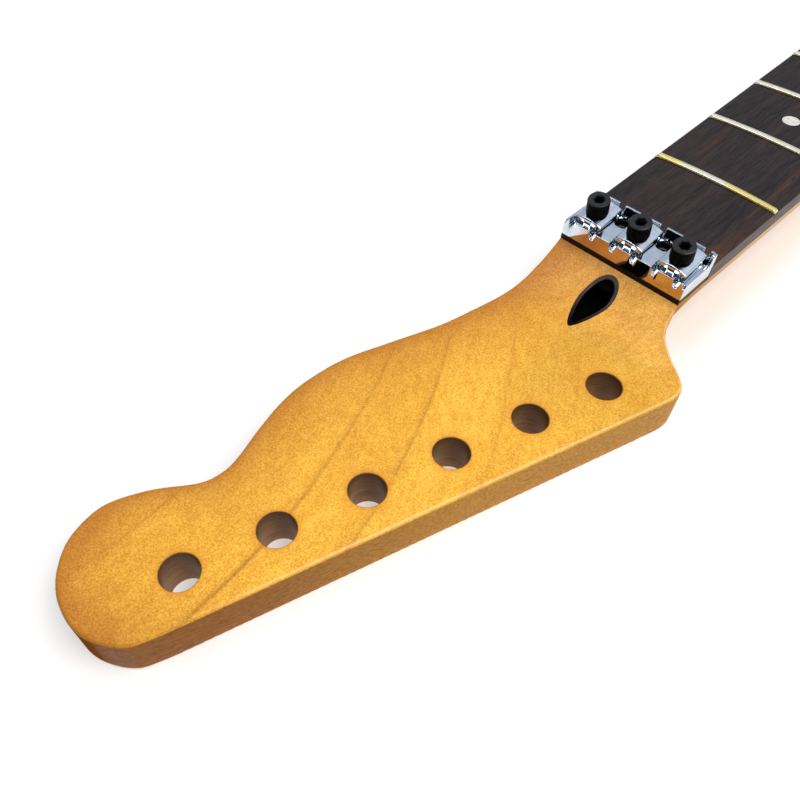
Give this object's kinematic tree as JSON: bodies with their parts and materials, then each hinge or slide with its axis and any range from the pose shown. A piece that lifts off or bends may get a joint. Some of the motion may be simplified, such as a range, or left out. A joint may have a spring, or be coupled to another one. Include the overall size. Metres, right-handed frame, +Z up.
{
  "type": "electric guitar neck",
  "caption": "Bolt-on electric guitar neck with one-sided six-hole headstock, rosewood fingerboard and clamping nut.",
  "frame": {"origin": "middle of the heel's flat back face, where the neck seats in a body's pocket", "axes": "+X across the neck towards the straight, tuner side of the headstock, +Y from the headstock towards the heel, +Z up out of the fingerboard"},
  "size_m": [0.0795, 0.6688, 0.0352],
  "materials": {
    "maple": "amber satin lacquer over maple",
    "rosewood": "bare oiled open-grained wood",
    "fret_metal": "polished fret wire",
    "inlay": "pale polished inlay",
    "chrome": "bright chrome plate",
    "black_screw": "black oxide, satin",
    "black_plastic": "moulded satin black",
    "rod_steel": "plain machined steel"
  },
  "bodies": {
    "neck": {"neck_blank": "maple", "fingerboard": "rosewood", "nut_base": "chrome", "truss_rod_sleeve": "black_plastic", "truss_rod": "rod_steel", "truss_rod_flat_bar": "rod_steel", "truss_rod_anchor": "rod_steel", "nut_mount_screw_1": "black_screw", "nut_mount_screw_2": "black_screw", "fret_01": "fret_metal", "fret_02": "fret_metal", "fret_03": "fret_metal", "fret_04": "fret_metal", "fret_05": "fret_metal", "fret_06": "fret_metal", "fret_07": "fret_metal", "fret_08": "fret_metal", "fret_09": "fret_metal", "fret_10": "fret_metal", "fret_11": "fret_metal", "fret_12": "fret_metal", "fret_13": "fret_metal", "fret_14": "fret_metal", "fret_15": "fret_metal", "fret_16": "fret_metal", "fret_17": "fret_metal", "fret_18": "fret_metal", "fret_19": "fret_metal", "fret_20": "fret_metal", "fret_21": "fret_metal", "fret_22": "fret_metal", "face_dot_3": "inlay", "face_dot_5": "inlay", "face_dot_7": "inlay", "face_dot_9": "inlay", "face_dot_15": "inlay", "face_dot_17": "inlay", "face_dot_19": "inlay", "face_dot_21": "inlay", "face_dot_12_treble": "inlay", "face_dot_12_bass": "inlay", "side_dot_3": "inlay", "side_dot_5": "inlay", "side_dot_7": "inlay", "side_dot_9": "inlay", "side_dot_15": "inlay", "side_dot_17": "inlay", "side_dot_19": "inlay", "side_dot_21": "inlay", "side_dot_12_upper": "inlay", "side_dot_12_lower": "inlay"},
    "pad_1": {"clamp_pad_1": "chrome"},
    "pad_2": {"clamp_pad_2": "chrome"},
    "pad_3": {"clamp_pad_3": "chrome"},
    "screw_1": {"clamp_screw_1": "black_screw"},
    "screw_2": {"clamp_screw_2": "black_screw"},
    "screw_3": {"clamp_screw_3": "black_screw"},
    "rod_nut": {"truss_rod_nut": "rod_steel"}
  },
  "joints": [
    {"name": "pad_1_lift", "type": "slide", "parent": "neck", "child": "pad_1", "axis": [0, -0.1599, 0.9871], "range_m": [0, 0.0014]},
    {"name": "screw_1_turn", "type": "hinge", "parent": "pad_1", "child": "screw_1", "pos_m": [-0.0148, -0.4343, 0.0259], "axis": [0, -0.1599, 0.9871], "range_deg": [0, 720]},
    {"name": "pad_2_lift", "type": "slide", "parent": "neck", "child": "pad_2", "axis": [0, -0.1599, 0.9871], "range_m": [0, 0.0014]},
    {"name": "screw_2_turn", "type": "hinge", "parent": "pad_2", "child": "screw_2", "pos_m": [0, -0.4343, 0.0259], "axis": [0, -0.1599, 0.9871], "range_deg": [0, 720]},
    {"name": "pad_3_lift", "type": "slide", "parent": "neck", "child": "pad_3", "axis": [0, -0.1599, 0.9871], "range_m": [0, 0.0014]},
    {"name": "screw_3_turn", "type": "hinge", "parent": "pad_3", "child": "screw_3", "pos_m": [0.0148, -0.4343, 0.0259], "axis": [0, -0.1599, 0.9871], "range_deg": [0, 720]},
    {"name": "rod_nut_turn", "type": "hinge", "parent": "neck", "child": "rod_nut", "pos_m": [0, -0.438, 0.0118], "axis": [0, 1, 0], "range_deg": [-360, 360]}
  ],
  "couplings": [
    {"joint": "screw_1_turn", "follows": "pad_1_lift", "rad_per_m": 8976},
    {"joint": "screw_2_turn", "follows": "pad_2_lift", "rad_per_m": 8976},
    {"joint": "screw_3_turn", "follows": "pad_3_lift", "rad_per_m": 8976}
  ]
}
